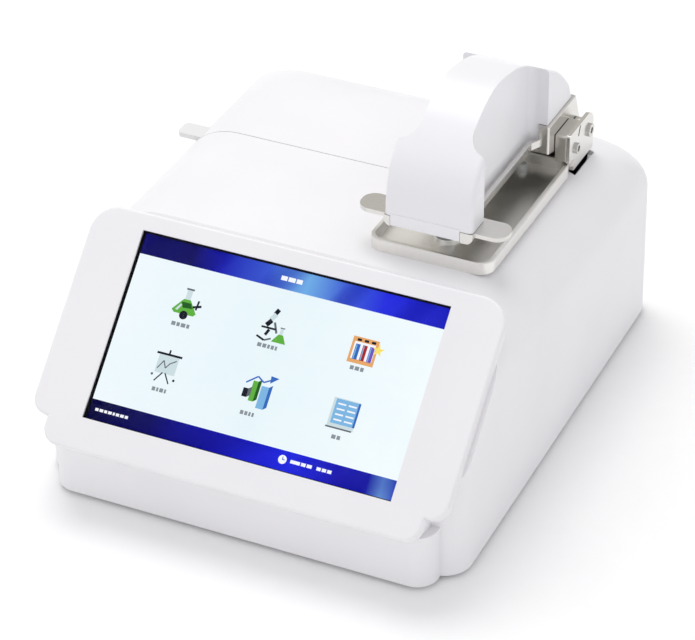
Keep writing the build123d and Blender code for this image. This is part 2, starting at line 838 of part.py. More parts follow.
with BuildPart() as lid_tab:
    with BuildSketch(deck_place(0, 0, lid_tab_z)):
        with Locations((-(lid_tab_reach + lid_tab_root) / 2, lid_tab_y)):
            RectangleRounded(lid_tab_reach - lid_tab_root, lid_tab_width, 2.5)
    extrude(amount=-lid_tab_thickness)
    with BuildSketch(deck_place(0, 0, lid_tab_z + 0.8)):
        with Locations((-lid_tab_root + 3.4, lid_tab_y)):
            Rectangle(3.0, lid_tab_width + 1.6)
    extrude(amount=-lid_tab_thickness - 3)
    with BuildSketch(deck_place(0, 0, lid_tab_z)):
        with Locations((-lid_tab_root + 1, lid_tab_y)):
            Rectangle(6.0, lid_tab_width)
    extrude(amount=-lid_tab_thickness)
save(lid_tab.part, "lid_tab")

with BuildPart() as lid_pins:
    add(lid_barrels(0, lid_pin_radius, 3 * barrel_width))
save(lid_pins.part, "lid_pins")

# cuvette bay under the lid
bay_left = -92.0
bay_right = 6.0
bay_front = 44.0
bay_rear = 118.0
bay_floor = 70.0
bay_skin = 1.6
bay_rim = 76.0
holder_outer = 24.0
holder_top = 80.0
with BuildPart() as bay_tray:
    with BuildSketch(Plane.XY.offset(bay_floor)):
        with Locations(((bay_left + bay_right) / 2, (bay_front + bay_rear) / 2)):
            RectangleRounded(bay_right - bay_left, bay_rear - bay_front, 6.0)
    extrude(amount=bay_rim - bay_floor)
    with BuildSketch(Plane.XY.offset(bay_floor + bay_skin)):
        with Locations(((bay_left + bay_right) / 2, (bay_front + bay_rear) / 2)):
            RectangleRounded(
                bay_right - bay_left - 2 * bay_skin, bay_rear - bay_front - 2 * bay_skin, 6.0 - bay_skin
            )
    extrude(amount=bay_rim - bay_floor, mode=Mode.SUBTRACT)
    with BuildSketch(Plane.XY.offset(bay_floor)):
        with Locations((holder_x, holder_y)):
            Rectangle(holder_outer, holder_outer)
    extrude(amount=bay_rim - bay_floor, mode=Mode.SUBTRACT)
save(bay_tray.part, "bay_tray")

with BuildPart() as cuvette_holder:
    with BuildSketch(Plane.XY.offset(holder_top)):
        with Locations((holder_x, holder_y)):
            Rectangle(holder_outer, holder_outer)
    extrude(amount=-well_depth - 6)
    with BuildSketch(Plane.XY.offset(holder_top)):
        with Locations((holder_x, holder_y)):
            Rectangle(holder_outer + 8, holder_outer + 8)
    extrude(amount=-2.0)
    chamfer(cuvette_holder.faces().sort_by(Axis.Z)[-1].edges(), 0.6)
    with BuildSketch(Plane.XY.offset(holder_top)):
        with Locations((holder_x, holder_y)):
            Rectangle(well_size, well_size)
    extrude(amount=-well_depth, mode=Mode.SUBTRACT)
    with BuildSketch(Plane.YZ.offset(holder_x - holder_outer / 2)):
        with Locations((holder_y, holder_top - well_depth + beam_height)):
            Rectangle(4.0, 10.0)
    extrude(amount=holder_outer, mode=Mode.SUBTRACT)
save(cuvette_holder.part, "cuvette_holder")

# rear connections
panel_skin = wall - 0.6
inlet_x = 66.0
inlet_radius = 4.2
inlet_bore = 2.9
port_places = [(6.0, panel_z + 2), (22.0, panel_z + 2)]
switch_x = 44.0
switch_width = 12.0
switch_height = 19.0
with BuildPart() as rear_panel:
    with BuildSketch(Plane.XZ.offset(-rear_y + 0.6)):
        with Locations((panel_x, panel_z)):
            Rectangle(panel_width - 0.6, panel_height - 0.6)
    extrude(amount=panel_skin)
    with BuildSketch(Plane.XZ.offset(-rear_y + 0.6 + panel_skin)):
        with Locations((panel_x, panel_z)):
            Rectangle(panel_width + 6, panel_height + 6)
    extrude(amount=1.0)
    with BuildSketch(Plane.XZ.offset(-rear_y)):
        with Locations((inlet_x, panel_z)):
            Circle(inlet_radius)
        with Locations(*port_places):
            Rectangle(13.4, 6.0)
        with Locations((switch_x, panel_z)):
            Rectangle(switch_width, switch_height)
    extrude(amount=12, mode=Mode.SUBTRACT)
save(rear_panel.part, "rear_panel")

with BuildPart() as dc_inlet:
    with BuildSketch(Plane.XZ.offset(-rear_y + 0.4)):
        with Locations((inlet_x, panel_z)):
            Circle(inlet_radius)
    extrude(amount=14)
    with BuildSketch(Plane.XZ.offset(-rear_y + 0.4)):
        with Locations((inlet_x, panel_z)):
            Circle(inlet_bore)
    extrude(amount=9, mode=Mode.SUBTRACT)
    with BuildSketch(Plane.XZ.offset(-rear_y + 1.4)):
        with Locations((inlet_x, panel_z)):
            Circle(0.8)
    extrude(amount=9)
save(dc_inlet.part, "dc_inlet")

with BuildPart() as usb_sockets:
    with BuildSketch(Plane.XZ.offset(-rear_y + 0.4)):
        with Locations(*port_places):
            Rectangle(13.4, 6.0)
    extrude(amount=15)
    with BuildSketch(Plane.XZ.offset(-rear_y + 0.4)):
        with Locations(*port_places):
            Rectangle(12.4, 5.0)
    extrude(amount=11, mode=Mode.SUBTRACT)
    with BuildSketch(Plane.XZ.offset(-rear_y + 1.4)):
        for x, z in port_places:
            with Locations((x, z + 1.2)):
                Rectangle(11.0, 1.8)
    extrude(amount=11)
save(usb_sockets.part, "usb_sockets")

# power switch: a frame and a rocker that tips on a cross pin
rocker_half_height = 7.0
rocker_pin = 1.0
rocker_pivot_y = rear_y - 4.0
with BuildPart() as switch_body:
    with BuildSketch(Plane.XZ.offset(-rear_y - 0.8)):
        with Locations((switch_x, panel_z)):
            Rectangle(switch_width + 3, switch_height + 3)
    extrude(amount=1.3)
    with BuildSketch(Plane.XZ.offset(-rear_y + 0.5)):
        with Locations((switch_x, panel_z)):
            Rectangle(switch_width, switch_height)
    extrude(amount=14)
    with BuildSketch(Plane.XZ.offset(-rear_y - 0.8)):
        with Locations((switch_x, panel_z)):
            Rectangle(switch_width - 2.0, switch_height - 2.4)
    extrude(amount=9.0, mode=Mode.SUBTRACT)
    with BuildSketch(Plane.YZ.offset(switch_x - switch_width)):
        with Locations((rocker_pivot_y, panel_z)):
            Circle(rocker_pin + pin_play)
    extrude(amount=2 * switch_width, mode=Mode.SUBTRACT)
save(switch_body.part, "switch_body")

with BuildPart() as power_rocker:
    with BuildSketch(Plane.YZ.offset(switch_x - switch_width / 2 + 1.4)):
        with BuildLine():
            Polyline(
                (rocker_pivot_y - 2.5, panel_z - 1.5),
                (rocker_pivot_y - 1.0, panel_z - rocker_half_height + 0.5),
                (rocker_pivot_y + 3.8, panel_z - rocker_half_height),
                (rocker_pivot_y + 4.4, panel_z),
                (rocker_pivot_y + 5.4, panel_z + rocker_half_height),
                (rocker_pivot_y + 0.5, panel_z + rocker_half_height),
                (rocker_pivot_y - 2.5, panel_z + 1.5),
                close=True,
            )
        make_face()
    extrude(amount=switch_width - 2.8)
    fillet(power_rocker.edges().filter_by(Axis.X).group_by(Axis.Y)[-1], 0.6)
    with BuildSketch(Plane.YZ.offset(switch_x - switch_width / 2)):
        with Locations((rocker_pivot_y, panel_z)):
            Circle(rocker_pin)
    extrude(amount=switch_width)
save(power_rocker.part, "power_rocker")
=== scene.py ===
from math import cos, radians, sin

import bmesh
import bpy
from mathutils import Matrix, Vector


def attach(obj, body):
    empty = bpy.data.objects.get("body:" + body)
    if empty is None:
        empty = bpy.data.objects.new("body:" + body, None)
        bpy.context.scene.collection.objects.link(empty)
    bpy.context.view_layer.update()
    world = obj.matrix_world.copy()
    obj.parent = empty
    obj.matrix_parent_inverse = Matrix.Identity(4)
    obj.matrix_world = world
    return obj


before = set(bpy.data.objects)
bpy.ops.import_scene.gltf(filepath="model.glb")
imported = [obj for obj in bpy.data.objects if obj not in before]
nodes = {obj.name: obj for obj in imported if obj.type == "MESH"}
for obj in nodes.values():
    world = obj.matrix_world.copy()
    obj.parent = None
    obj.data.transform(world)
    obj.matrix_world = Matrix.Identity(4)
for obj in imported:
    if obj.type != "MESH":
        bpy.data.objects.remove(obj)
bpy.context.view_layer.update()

mm = 0.001

# the slanted plane of the display, in millimetres, with its slope in degrees
displayPlane = {"y": -83.3, "z": 75.5, "slope": 42.5}


def slopePlace(plane):
    spot = Matrix.Translation(Vector((0, plane["y"], plane["z"])) * mm)
    return spot @ Matrix.Rotation(radians(plane["slope"]), 4, "X")


displayPlace = slopePlace(displayPlane)


def newMaterial(name):
    material = bpy.data.materials.new(name)
    material.use_nodes = True
    tree = material.node_tree
    shader = tree.nodes["Principled BSDF"]
    return material, tree, shader


def addNode(tree, kind, **settings):
    node = tree.nodes.new(kind)
    for key, value in settings.items():
        if key in node.inputs:
            node.inputs[key].default_value = value
        else:
            setattr(node, key, value)
    return node


def objectNoise(tree, scale, detail=3.0, roughness=0.5, stretch=(1, 1, 1)):
    place = addNode(tree, "ShaderNodeTexCoord")
    mapping = addNode(tree, "ShaderNodeMapping")
    mapping.inputs["Scale"].default_value = stretch
    tree.links.new(place.outputs["Object"], mapping.inputs["Vector"])
    noise = addNode(tree, "ShaderNodeTexNoise", Scale=scale, Detail=detail, Roughness=roughness)
    tree.links.new(mapping.outputs["Vector"], noise.inputs["Vector"])
    return noise.outputs["Fac"]


def rampBetween(tree, source, stops):
    ramp = addNode(tree, "ShaderNodeValToRGB")
    while len(ramp.color_ramp.elements) < len(stops):
        ramp.color_ramp.elements.new(0.5)
    for element, (position, color) in zip(ramp.color_ramp.elements, stops):
        element.position = position
        element.color = (*color, 1.0)
    tree.links.new(source, ramp.inputs["Fac"])
    return ramp


def clouded(tree, shader, source, dark, light, edges=(0.3, 0.7)):
    low, high = edges
    shade = rampBetween(tree, source, [(low, dark), (high, light)])
    tree.links.new(shade.outputs["Color"], shader.inputs["Base Color"])


def roughened(tree, shader, source, low, high):
    mapper = addNode(tree, "ShaderNodeMapRange")
    mapper.inputs["To Min"].default_value = low
    mapper.inputs["To Max"].default_value = high
    tree.links.new(source, mapper.inputs["Value"])
    tree.links.new(mapper.outputs["Result"], shader.inputs["Roughness"])


def addBump(tree, shader, source, strength, distance):
    bump = addNode(tree, "ShaderNodeBump", Strength=strength, Distance=distance)
    tree.links.new(source, bump.inputs["Height"])
    tree.links.new(bump.outputs["Normal"], shader.inputs["Normal"])


mouldedLook = {
    "housing": {
        "light": (0.868, 0.858, 0.872),
        "dark": (0.845, 0.836, 0.852),
        "rough": (0.42, 0.50),
        "coat": 0.10,
        "grain": 900.0,
    },
    "cover": {
        "light": (0.868, 0.862, 0.884),
        "dark": (0.848, 0.842, 0.866),
        "rough": (0.30, 0.36),
        "coat": 0.15,
        "grain": 900.0,
    },
    "tab": {
        "light": (0.80, 0.79, 0.79),
        "dark": (0.77, 0.76, 0.76),
        "rough": (0.34, 0.40),
        "coat": 0.15,
        "grain": 900.0,
    },
    "black": {
        "light": (0.022, 0.022, 0.024),
        "dark": (0.014, 0.014, 0.015),
        "rough": (0.42, 0.55),
        "coat": 0.05,
        "grain": 900.0,
    },
    "bay": {
        "light": (0.030, 0.030, 0.033),
        "dark": (0.020, 0.020, 0.022),
        "rough": (0.50, 0.62),
        "coat": 0.0,
        "grain": 1500.0,
    },
}
mouldedShared = {
    "clouds": 18.0,
    "edges": (0.35, 0.65),
    "bump": (0.10, 0.00008),
    "ior": 1.5,
    "coatRough": 0.22,
}


def mouldedPlastic(name, look, shared=mouldedShared):
    material, tree, shader = newMaterial(name)
    clouds = objectNoise(tree, shared["clouds"], detail=2.0)
    clouded(tree, shader, clouds, look["dark"], look["light"], shared["edges"])
    fine = objectNoise(tree, look["grain"], detail=4.0, roughness=0.6)
    roughened(tree, shader, fine, *look["rough"])
    addBump(tree, shader, fine, *shared["bump"])
    shader.inputs["IOR"].default_value = shared["ior"]
    shader.inputs["Coat Weight"].default_value = look["coat"]
    shader.inputs["Coat Roughness"].default_value = shared["coatRough"]
    return material


metalLook = {
    "tray": {
        "light": (0.88, 0.867, 0.832),
        "dark": (0.84, 0.826, 0.79),
        "rough": (0.29, 0.36),
        "stretch": (1, 1, 1),
        "grain": 1600.0,
    },
    "arm": {
        "light": (0.76, 0.745, 0.715),
        "dark": (0.71, 0.695, 0.665),
        "rough": (0.19, 0.25),
        "stretch": (1, 1, 1),
        "grain": 1600.0,
    },
    "block": {
        "light": (0.66, 0.64, 0.60),
        "dark": (0.60, 0.58, 0.54),
        "rough": (0.26, 0.34),
        "stretch": (1, 1, 1),
        "grain": 1600.0,
    },
    "steel": {
        "light": (0.72, 0.71, 0.69),
        "dark": (0.58, 0.57, 0.55),
        "rough": (0.18, 0.30),
        "stretch": (8, 8, 8),
        "grain": 200.0,
    },
    "polished": {
        "light": (0.86, 0.86, 0.85),
        "dark": (0.78, 0.78, 0.77),
        "rough": (0.08, 0.16),
        "stretch": (8, 8, 8),
        "grain": 200.0,
    },
    "floor": {
        "light": (0.50, 0.50, 0.51),
        "dark": (0.42, 0.42, 0.43),
        "rough": (0.32, 0.45),
        "stretch": (2, 60, 60),
        "grain": 1600.0,
    },
    "anodised": {
        "light": (0.030, 0.030, 0.033),
        "dark": (0.018, 0.018, 0.020),
        "rough": (0.35, 0.45),
        "stretch": (4, 4, 4),
        "grain": 500.0,
    },
}
metalBump = {"strength": 0.012, "distance": 0.00002}


def satinMetal(name, look):
    material, tree, shader = newMaterial(name)
    brushed = objectNoise(tree, look["grain"], detail=6.0, roughness=0.65, stretch=look["stretch"])
    clouded(tree, shader, brushed, look["dark"], look["light"])
    roughened(tree, shader, brushed, *look["rough"])
    addBump(tree, shader, brushed, metalBump["strength"], metalBump["distance"])
    shader.inputs["Metallic"].default_value = 1.0
    return material


rubberLook = {
    "light": (0.030, 0.030, 0.031),
    "dark": (0.018, 0.018, 0.019),
    "rough": (0.62, 0.80),
    "grain": 1400.0,
    "bump": (0.2, 0.0001),
}


def mattRubber(name, look):
    material, tree, shader = newMaterial(name)
    grain = objectNoise(tree, look["grain"], detail=4.0)
    clouded(tree, shader, grain, look["dark"], look["light"])
    roughened(tree, shader, grain, *look["rough"])
    addBump(tree, shader, grain, *look["bump"])
    return material


siliconeLook = {
    "light": (0.86, 0.88, 0.87),
    "dark": (0.78, 0.80, 0.80),
    "rough": (0.18, 0.30),
    "grain": 700.0,
    "clear": 0.55,
    "ior": 1.41,
}


def clearSilicone(name, look):
    material, tree, shader = newMaterial(name)
    cloudy = objectNoise(tree, look["grain"], detail=3.0)
    clouded(tree, shader, cloudy, look["dark"], look["light"])
    roughened(tree, shader, cloudy, *look["rough"])
    shader.inputs["Transmission Weight"].default_value = look["clear"]
    shader.inputs["IOR"].default_value = look["ior"]
    return material


boardLook = {
    "light": (0.020, 0.110, 0.050),
    "dark": (0.012, 0.070, 0.030),
    "tracks": (0.35, 0.30, 0.12),
    "trackWidth": 0.03,
    "scale": 260.0,
    "rough": 0.4,
}


def circuitBoard(name, look):
    material, tree, shader = newMaterial(name)
    tracks = addNode(tree, "ShaderNodeTexBrick", Scale=look["scale"])
    place = addNode(tree, "ShaderNodeTexCoord")
    tree.links.new(place.outputs["Object"], tracks.inputs["Vector"])
    tracks.inputs["Color1"].default_value = (*look["dark"], 1)
    tracks.inputs["Color2"].default_value = (*look["light"], 1)
    tracks.inputs["Mortar"].default_value = (*look["tracks"], 1)
    tracks.inputs["Mortar Size"].default_value = look["trackWidth"]
    tree.links.new(tracks.outputs["Color"], shader.inputs["Base Color"])
    shader.inputs["Roughness"].default_value = look["rough"]
    return material


# a low index, so that the glass doesn't mirror the room over the lit picture
glassLook = {
    "light": (1.0, 1.0, 1.0),
    "dark": (0.97, 0.99, 1.0),
    "rough": (0.015, 0.04),
    "film": 60.0,
    "ior": 1.01,
}


def displayGlass(name, look):
    material, tree, shader = newMaterial(name)
    film = objectNoise(tree, look["film"], detail=2.0)
    clouded(tree, shader, film, look["dark"], look["light"])
    roughened(tree, shader, film, *look["rough"])
    shader.inputs["Transmission Weight"].default_value = 1.0
    shader.inputs["IOR"].default_value = look["ior"]
    return material


housing = mouldedPlastic("whiteHousing", mouldedLook["housing"])
cover = mouldedPlastic("whiteArmCover", mouldedLook["cover"])
tabPlastic = mouldedPlastic("lidTabPlastic", mouldedLook["tab"])
blackPlastic = mouldedPlastic("blackPlastic", mouldedLook["black"])
bayPlastic = mouldedPlastic("bayPlastic", mouldedLook["bay"])
trayMetal = satinMetal("trayMetal", metalLook["tray"])
armMetal = satinMetal("armMetal", metalLook["arm"])
blockMetal = satinMetal("blockMetal", metalLook["block"])
steel = satinMetal("screwSteel", metalLook["steel"])
polished = satinMetal("polishedSteel", metalLook["polished"])
floorMetal = satinMetal("floorPlateMetal", metalLook["floor"])
anodised = satinMetal("blackAnodised", metalLook["anodised"])
rubber = mattRubber("footRubber", rubberLook)
silicone = clearSilicone("clearSilicone", siliconeLook)
board = circuitBoard("circuitBoard", boardLook)
glass = displayGlass("displayGlass", glassLook)

finishes = {
    housing: ["housing_shell", "display_bezel", "lid_panel"],
    cover: ["arm_cover"],
    tabPlastic: ["lid_tab"],
    blackPlastic: [
        "display_gasket",
        "lcd_module",
        "sample_fibre",
        "dc_inlet",
        "switch_body",
        "power_rocker",
    ],
    bayPlastic: ["bay_tray", "rear_panel", "spectrometer_module", "lamp_module", "power_supply"],
    blockMetal: ["hinge_dampers", "hinge_bushes"],
    trayMetal: ["arm_tray"],
    armMetal: ["hinge_bracket", "arm_frame"],
    steel: ["hinge_screws", "arm_screws", "base_screws", "hinge_pin", "lid_pins", "usb_sockets"],
    polished: ["lower_pedestal", "upper_pedestal"],
    floorMetal: ["base_plate"],
    anodised: ["cuvette_holder"],
    rubber: ["rubber_feet"],
    silicone: ["tray_bumpers", "pedestal_seal"],
    board: ["main_board"],
    glass: ["touch_glass"],
}
for material, names in finishes.items():
    for name in names:
        mesh = nodes[name].data
        mesh.materials.clear()
        mesh.materials.append(material)
print("materials done")

# the lit picture under the glass, in millimetres across and up the display plane
picture = {
    "width": 148.9,
    "height": 87.2,
    "depth": -3.1,
    "header": 34.2,
    "footer": -34.6,
    "frame": 1.0,
}
litLook = {"ground": (0.01, 0.01, 0.01), "rough": 0.5, "glow": 1.0}


def planeAxis(tree, axis, low, high):
    place = addNode(tree, "ShaderNodeTexCoord")
    mapping = addNode(tree, "ShaderNodeMapping", vector_type="TEXTURE")
    mapping.inputs["Location"].default_value = displayPlace.translation
    mapping.inputs["Rotation"].default_value = displayPlace.to_euler()
    mapping.inputs["Scale"].default_value = (mm, mm, mm)
    tree.links.new(place.outputs["Object"], mapping.inputs["Vector"])
    split = addNode(tree, "ShaderNodeSeparateXYZ")
    tree.links.new(mapping.outputs["Vector"], split.inputs["Vector"])
    mapper = addNode(tree, "ShaderNodeMapRange")
    mapper.inputs["From Min"].default_value = low
    mapper.inputs["From Max"].default_value = high
    tree.links.new(split.outputs[axis], mapper.inputs["Value"])
    return mapper.outputs["Result"], mapping.outputs["Vector"]


def streaked(tree, color, spot, streaks):
    wave = addNode(tree, "ShaderNodeTexWave", Scale=streaks["scale"], Distortion=streaks["bend"])
    wave.wave_profile = "SIN"
    turned = addNode(tree, "ShaderNodeMapping")
    turned.inputs["Rotation"].default_value = (0, 0, radians(streaks["turn"]))
    tree.links.new(spot, turned.inputs["Vector"])
    tree.links.new(turned.outputs["Vector"], wave.inputs["Vector"])
    shadow = rampBetween(tree, wave.outputs["Fac"], [(0.0, streaks["dark"]), (0.5, (1, 1, 1))])
    mixed = addNode(tree, "ShaderNodeMix", data_type="RGBA", blend_type="MULTIPLY")
    mixed.inputs["Factor"].default_value = 1.0
    tree.links.new(color, mixed.inputs["A"])
    tree.links.new(shadow.outputs["Color"], mixed.inputs["B"])
    return mixed.outputs["Result"]


def litMaterial(name, stops, axis="X", low=-75.0, high=75.0, streaks=None):
    material, tree, shader = newMaterial(name)
    along, spot = planeAxis(tree, axis, low, high)
    color = rampBetween(tree, along, stops).outputs["Color"]
    if streaks:
        color = streaked(tree, color, spot, streaks)
    shader.inputs["Base Color"].default_value = (*litLook["ground"], 1)
    shader.inputs["Roughness"].default_value = litLook["rough"]
    shader.inputs["Specular IOR Level"].default_value = 0.0
    tree.links.new(color, shader.inputs["Emission Color"])
    shader.inputs["Emission Strength"].default_value = litLook["glow"]
    return material


# display values from 0 to 255 to Blender's linear ones
def srgb(*values):
    shares = [value / 255 for value in values]
    return tuple(c / 12.92 if c <= 0.04045 else ((c + 0.055) / 1.055) ** 2.4 for c in shares)


screenTones = {
    "paper": [(0.0, srgb(240, 249, 253)), (0.5, srgb(234, 246, 250)), (1.0, srgb(244, 252, 255))],
    "header": [
        (0.0, srgb(14, 12, 108)),
        (0.17, srgb(10, 8, 92)),
        (0.27, srgb(26, 30, 178)),
        (0.42, srgb(56, 86, 208)),
        (0.55, srgb(112, 172, 230)),
        (0.66, srgb(64, 96, 212)),
        (0.80, srgb(34, 42, 222)),
        (1.0, srgb(22, 26, 184)),
    ],
    "footer": [
        (0.0, srgb(4, 3, 60)),
        (0.20, srgb(5, 4, 92)),
        (0.38, srgb(10, 9, 160)),
        (0.66, srgb(26, 34, 222)),
        (0.82, srgb(18, 16, 170)),
        (0.91, srgb(24, 28, 176)),
        (0.955, srgb(112, 160, 216)),
        (1.0, srgb(40, 56, 186)),
    ],
    "edge": [(0.0, srgb(9, 9, 12)), (0.5, srgb(14, 14, 18)), (1.0, srgb(9, 9, 12))],
}
screenStreaks = {
    "header": {"scale": 0.012, "bend": 2.0, "turn": 35, "dark": (0.55, 0.55, 0.8)},
    "footer": {"scale": 0.010, "bend": 3.0, "turn": 60, "dark": (0.5, 0.5, 0.8)},
}
screenPaper = litMaterial("screenPaper", screenTones["paper"])
screenEdge = litMaterial("screenEdge", screenTones["edge"])
screenHeader = litMaterial("screenHeader", screenTones["header"], streaks=screenStreaks["header"])
screenFooter = litMaterial("screenFooter", screenTones["footer"], streaks=screenStreaks["footer"])


def finishPiece(bm, name, materials, body="base"):
    bmesh.ops.recalc_face_normals(bm, faces=bm.faces)
    mesh = bpy.data.meshes.new(name)
    bm.to_mesh(mesh)
    bm.free()
    piece = bpy.data.objects.new(name, mesh)
    bpy.context.scene.collection.objects.link(piece)
    for material in materials:
        mesh.materials.append(material)
    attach(piece, body)


# a thin slab on the display plane, from its outline in millimetres
def flatPatch(bm, points, depth, slot, thick=0.03):
    spots = [bm.verts.new(displayPlace @ (Vector((u, v, depth)) * mm)) for u, v in points]
    face = bm.faces.new(spots)
    face.material_index = slot
    up = displayPlace.to_3x3() @ Vector((0, 0, thick * mm))
    grown = bmesh.ops.extrude_face_region(bm, geom=[face])
    top = [g for g in grown["geom"] if isinstance(g, bmesh.types.BMVert)]
    bmesh.ops.translate(bm, verts=top, vec=up)
    for side in {f for v in top for f in v.link_faces}:
        side.material_index = slot


def barPoints(u0, v0, u1, v1):
    return [(u0, v0), (u1, v0), (u1, v1), (u0, v1)]


def ringPoints(u, v, radius, count=20):
    turns = [radians(360 * step / count) for step in range(count)]
    return [(u + radius * cos(turn), v + radius * sin(turn)) for turn in turns]


def strokePoints(start, end, width):
    a, b = Vector(start), Vector(end)
    along = (b - a).normalized()
    side = Vector((-along.y, along.x)) * width / 2
    return [tuple(a + side), tuple(a - side), tuple(b - side), tuple(b + side)]


def starPoints(u, v, reach, waist, tips=5):
    points = []
    for step in range(2 * tips):
        radius = reach if step % 2 == 0 else waist
        turn = radians(90 + 180 * step / tips)
        points.append((u + radius * cos(turn), v + radius * sin(turn)))
    return points


def makeScreenPicture(settings):
    bm = bmesh.new()
    depth = settings["depth"]
    half = settings["width"] / 2
    edge = settings["height"] / 2
    rim = settings["frame"]
    flatPatch(bm, barPoints(-half, settings["footer"], half, settings["header"]), depth, 0)
    flatPatch(bm, barPoints(-half, settings["header"], half, edge), depth, 1)
    flatPatch(bm, barPoints(-half, -edge, half, settings["footer"]), depth, 2)
    for side in (-1, 1):
        flatPatch(bm, barPoints(-half - rim, side * edge, half + rim, side * (edge + rim)), depth, 3)
        flatPatch(bm, barPoints(side * half, -edge, side * (half + rim), edge), depth, 3)
    finishPiece(bm, "screenPicture", [screenPaper, screenHeader, screenFooter, screenEdge])


makeScreenPicture(picture)


# one flat ink, a little paler at the middle of the screen's height
def inkMaterial(name, *color):
    tone = srgb(*color)
    paler = tuple(min(1.0, c * 1.25 + 0.02) for c in tone)
    return litMaterial(name, [(0.0, tone), (0.5, paler), (1.0, tone)], axis="Y", low=-3.0, high=3.0)


inks = {
    "white": inkMaterial("inkWhite", 246, 248, 255),
    "grey": inkMaterial("inkGrey", 98, 104, 112),
    "dimGrey": inkMaterial("inkDimGrey", 138, 146, 154),
    "black": inkMaterial("inkBlack", 22, 26, 40),
    "green": inkMaterial("inkGreen", 96, 176, 64),
    "deepGreen": inkMaterial("inkDeepGreen", 34, 92, 34),
    "paleGlass": inkMaterial("inkPaleGlass", 206, 222, 226),
    "orange": inkMaterial("inkOrange", 232, 168, 104),
    "blue": inkMaterial("inkBlue", 52, 104, 190),
    "sky": inkMaterial("inkSky", 126, 182, 226),
    "red": inkMaterial("inkRed", 170, 36, 40),
    "purple": inkMaterial("inkPurple", 112, 84, 190),
    "yellow": inkMaterial("inkYellow", 250, 226, 110),
}
inkNames = list(inks)

# marks lie just above the picture, each layer one step over the last, in millimetres
layers = {"depth": picture["depth"] + 0.05, "step": 0.04}


# a mark whose outline is measured from the centre of its icon
def mark(bm, centre, points, ink, layer=0):
    placed = [(centre[0] + u, centre[1] + v) for u, v in points]
    flatPatch(bm, placed, layers["depth"] + layers["step"] * layer, inkNames.index(ink))


# rows of dashes in place of words: left end, bottom, dash lengths, dash height and ink
captions = [
    (-49.4, 6.4, (2.0, 1.6, 2.2, 1.4), 1.8, "dimGrey"),
    (-7.0, 6.8, (2.0, 1.8, 1.2, 1.4, 1.0), 1.8, "dimGrey"),
    (37.8, 7.2, (1.8, 2.0, 1.6), 1.8, "dimGrey"),
    (-48.6, -24.2, (1.6, 1.0, 1.8, 0.9), 1.8, "dimGrey"),
    (-5.0, -24.2, (1.6, 1.4, 1.0, 1.0), 1.8, "dimGrey"),
    (39.2, -24.2, (2.0, 1.6), 1.8, "dimGrey"),
    (-5.6, 38.0, (3.0, 3.4, 2.8), 2.0, "white"),
    (-71.6, -39.6, (1.6, 1.8, 1.4, 1.8, 1.0, 1.6, 1.8, 1.5), 1.3, "white"),
    (24.6, -39.4, (4.6, 2.2, 2.4), 1.5, "white"),
    (37.2, -39.4, (2.0, 2.0, 2.0), 1.5, "white"),
]
captionGap = 0.55
clock = {
    "centre": (20.8, -38.7),
    "radius": 2.0,
    "hands": [(-0.2, -0.2, 0.2, 1.3), (-0.2, -0.2, 1.1, 0.2)],
}


def makeScreenWords():
    bm = bmesh.new()
    for u, v, lengths, height, ink in captions:
        for length in lengths:
            mark(bm, (u, v), barPoints(0, 0, length, height), ink)
            u += length + captionGap
    mark(bm, clock["centre"], ringPoints(0, 0, clock["radius"]), "white")
    for hand in clock["hands"]:
        mark(bm, clock["centre"], barPoints(*hand), "blue", 1)
    finishPiece(bm, "screenWords", list(inks.values()))


makeScreenWords()


def flaskIcon(bm, at):
    liquid = [(-6.2, -3.4), (-4.8, -4.6), (4.8, -4.6), (5.8, -3.4), (1.6, 2.2), (-1.8, 2.2)]
    shadow = [(-2.4, 0.8), (2.2, 0.8), (3.4, -1.4), (-1.2, -1.8)]
    shine = [(-4.6, -3.2), (-2.6, -0.2), (-1.8, -0.6), (-3.4, -3.4)]
    mark(bm, at, barPoints(-1.3, 1.2, 1.3, 7.0), "paleGlass")
    mark(bm, at, barPoints(-1.9, 6.6, 1.9, 7.4), "grey", 1)
    mark(bm, at, liquid, "green", 1)
    mark(bm, at, shadow, "deepGreen", 2)
    mark(bm, at, shine, "paleGlass", 2)
    mark(bm, at, ringPoints(0.2, -5.0, 2.0), "black", 3)
    mark(bm, at, strokePoints((3.4, -0.6), (7.4, 0.6), 1.1), "black", 3)
    mark(bm, at, strokePoints((5.2, -1.6), (5.6, 2.8), 0.9), "black", 4)


def microscopeIcon(bm, at):
    flask = [(2.0, -6.2), (9.0, -6.2), (6.8, -2.4), (4.6, -2.4)]
    mark(bm, at, strokePoints((0.2, 6.0), (1.4, 8.4), 2.0), "black")
    mark(bm, at, strokePoints((-1.2, 3.0), (0.8, 6.0), 2.2), "paleGlass", 1)
    mark(bm, at, strokePoints((-2.4, 0.4), (-0.4, 3.0), 2.2), "black", 2)
    mark(bm, at, strokePoints((-4.4, -0.6), (2.6, -0.6), 0.9), "black", 3)
    mark(bm, at, strokePoints((1.2, 2.4), (3.4, -2.2), 1.0), "grey", 2)
    mark(bm, at, strokePoints((-1.6, -4.0), (-0.4, -1.2), 1.4), "black", 2)
    mark(bm, at, strokePoints((-5.4, -5.0), (-1.4, -6.4), 0.9), "black", 3)
    mark(bm, at, strokePoints((-1.4, -6.4), (1.6, -5.0), 0.8), "grey", 3)
    mark(bm, at, flask, "green", 4)
    mark(bm, at, barPoints(4.9, -2.4, 6.4, 0.8), "paleGlass", 3)
    mark(bm, at, barPoints(4.6, 0.4, 6.8, 0.9), "grey", 4)


